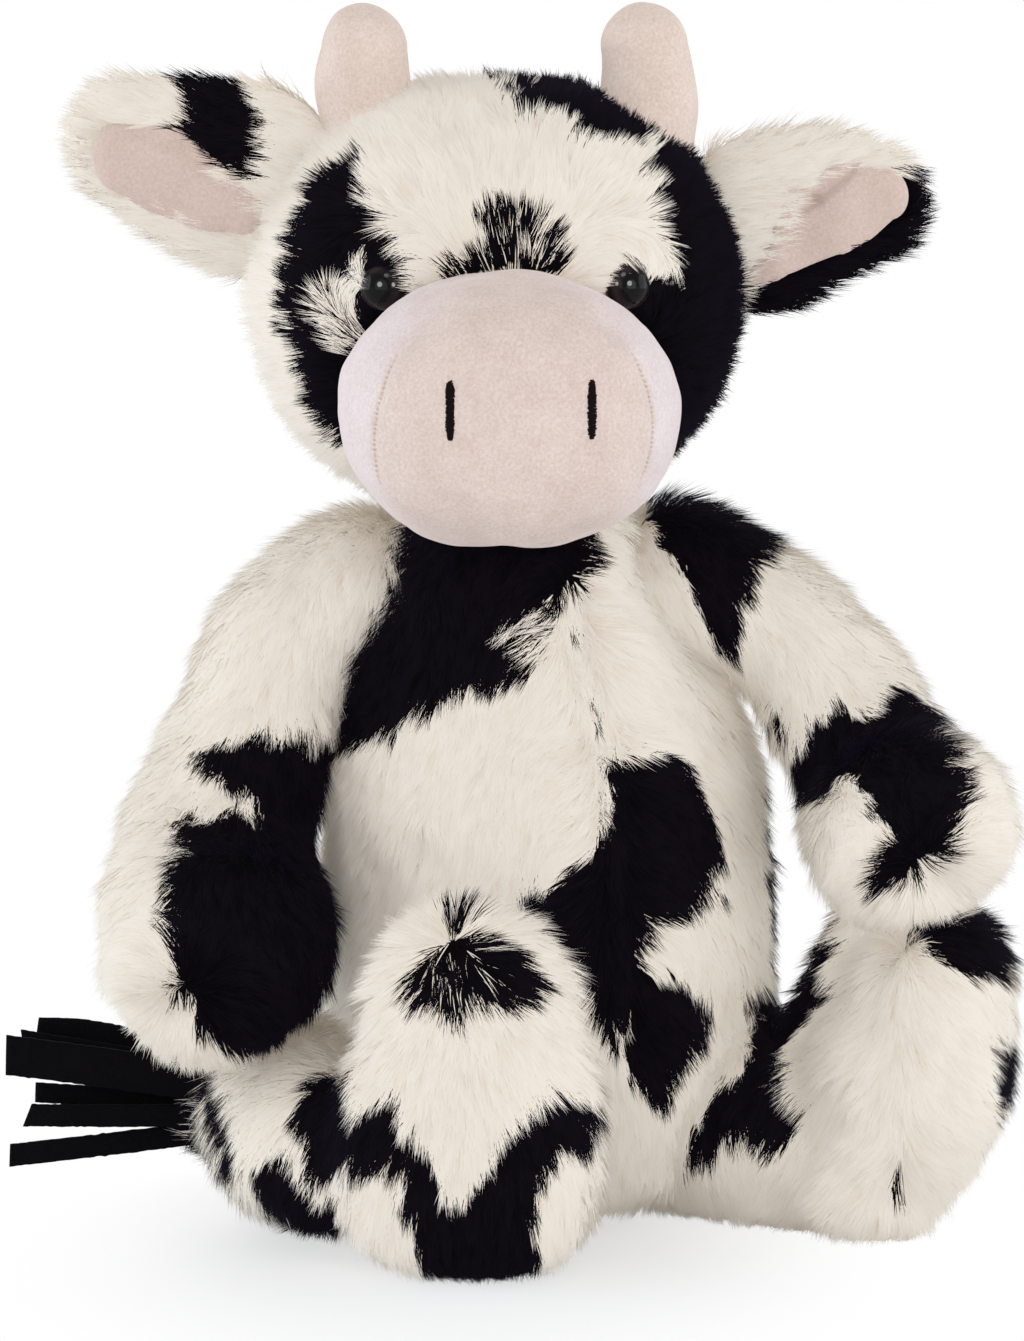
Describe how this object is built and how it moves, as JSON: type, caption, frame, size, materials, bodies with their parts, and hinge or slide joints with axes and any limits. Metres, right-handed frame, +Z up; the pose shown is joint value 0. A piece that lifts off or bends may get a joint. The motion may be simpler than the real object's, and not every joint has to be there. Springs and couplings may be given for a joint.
{
  "type": "plush cow",
  "caption": "Sitting plush cow of black and cream fur fabric with suede muzzle, horns and ear linings, glossy eyes and a tasselled tail.",
  "frame": {"origin": "middle of the flat seat under the torso, on the surface that the toy sits on", "axes": "+Z up; the face and feet look towards -Y; +X is the toy's own left"},
  "size_m": [0.2059, 0.1308, 0.2432],
  "materials": {
    "fur": "matte",
    "suede": "matte",
    "horn_suede": "matte",
    "thread": "matte",
    "eye_gloss": "gloss",
    "washer_plastic": "matte",
    "fibre": "matte",
    "pellet_cloth": "matte",
    "tassel_suede": "matte"
  },
  "bodies": {
    "torso": {"torso_skin": "fur", "torso_stuffing": "fibre", "pellet_bag": "pellet_cloth"},
    "head": {"head_skin": "fur", "head_stuffing": "fibre", "muzzle": "suede", "nostril_stitch_right": "thread", "nostril_stitch_left": "thread", "eye_right": "eye_gloss", "eye_left": "eye_gloss", "eye_washer_right": "washer_plastic", "eye_washer_left": "washer_plastic", "horn_right": "horn_suede", "horn_left": "horn_suede"},
    "ear_right": {"ear_right": "fur", "ear_lining_right": "suede"},
    "ear_left": {"ear_left": "fur", "ear_lining_left": "suede"},
    "arm_right": {"arm_skin_right": "fur", "arm_stuffing_right": "fibre"},
    "arm_left": {"arm_skin_left": "fur", "arm_stuffing_left": "fibre"},
    "leg_right": {"leg_skin_right": "fur", "leg_stuffing_right": "fibre"},
    "leg_left": {"leg_skin_left": "fur", "leg_stuffing_left": "fibre"},
    "tail": {"tail": "fur", "tassel_strip_1": "tassel_suede", "tassel_strip_2": "tassel_suede", "tassel_strip_3": "tassel_suede", "tassel_strip_4": "tassel_suede", "tassel_strip_5": "tassel_suede", "tassel_strip_6": "tassel_suede"}
  },
  "joints": [
    {"name": "neck_turn", "type": "hinge", "parent": "torso", "child": "head", "pos_m": [-0.00625, 0, 0.126], "axis": [0, 0, 1], "range_deg": [-30, 30], "stiffness_Nm_per_rad": 0.06},
    {"name": "shoulder_right_raise", "type": "hinge", "parent": "torso", "child": "arm_right", "pos_m": [-0.03325, 0, 0.133], "axis": [-1, 0, 0], "range_deg": [0, 50], "stiffness_Nm_per_rad": 0.05},
    {"name": "shoulder_left_raise", "type": "hinge", "parent": "torso", "child": "arm_left", "pos_m": [0.02075, 0, 0.133], "axis": [-1, 0, 0], "range_deg": [0, 50], "stiffness_Nm_per_rad": 0.05},
    {"name": "hip_right_lower", "type": "hinge", "parent": "torso", "child": "leg_right", "pos_m": [-0.025, 0, 0.024], "axis": [1, 0, 0], "range_deg": [0, 60], "stiffness_Nm_per_rad": 0.08},
    {"name": "hip_left_lower", "type": "hinge", "parent": "torso", "child": "leg_left", "pos_m": [0.025, 0, 0.024], "axis": [0.4229, 0.9062, 0], "range_deg": [0, 60], "stiffness_Nm_per_rad": 0.08},
    {"name": "ear_right_flop", "type": "hinge", "parent": "head", "child": "ear_right", "pos_m": [-0.05219, -0.00622, 0.205], "axis": [0, 1, 0], "range_deg": [-20, 20], "stiffness_Nm_per_rad": 0.02},
    {"name": "ear_left_flop", "type": "hinge", "parent": "head", "child": "ear_left", "pos_m": [0.03269, -0.00178, 0.194], "axis": [0, 1, 0], "range_deg": [-20, 20], "stiffness_Nm_per_rad": 0.02},
    {"name": "tail_sweep", "type": "hinge", "parent": "torso", "child": "tail", "pos_m": [-0.0125, 0.024, 0.012], "axis": [0, 0, 1], "range_deg": [-45, 8], "stiffness_Nm_per_rad": 0.02}
  ]
}
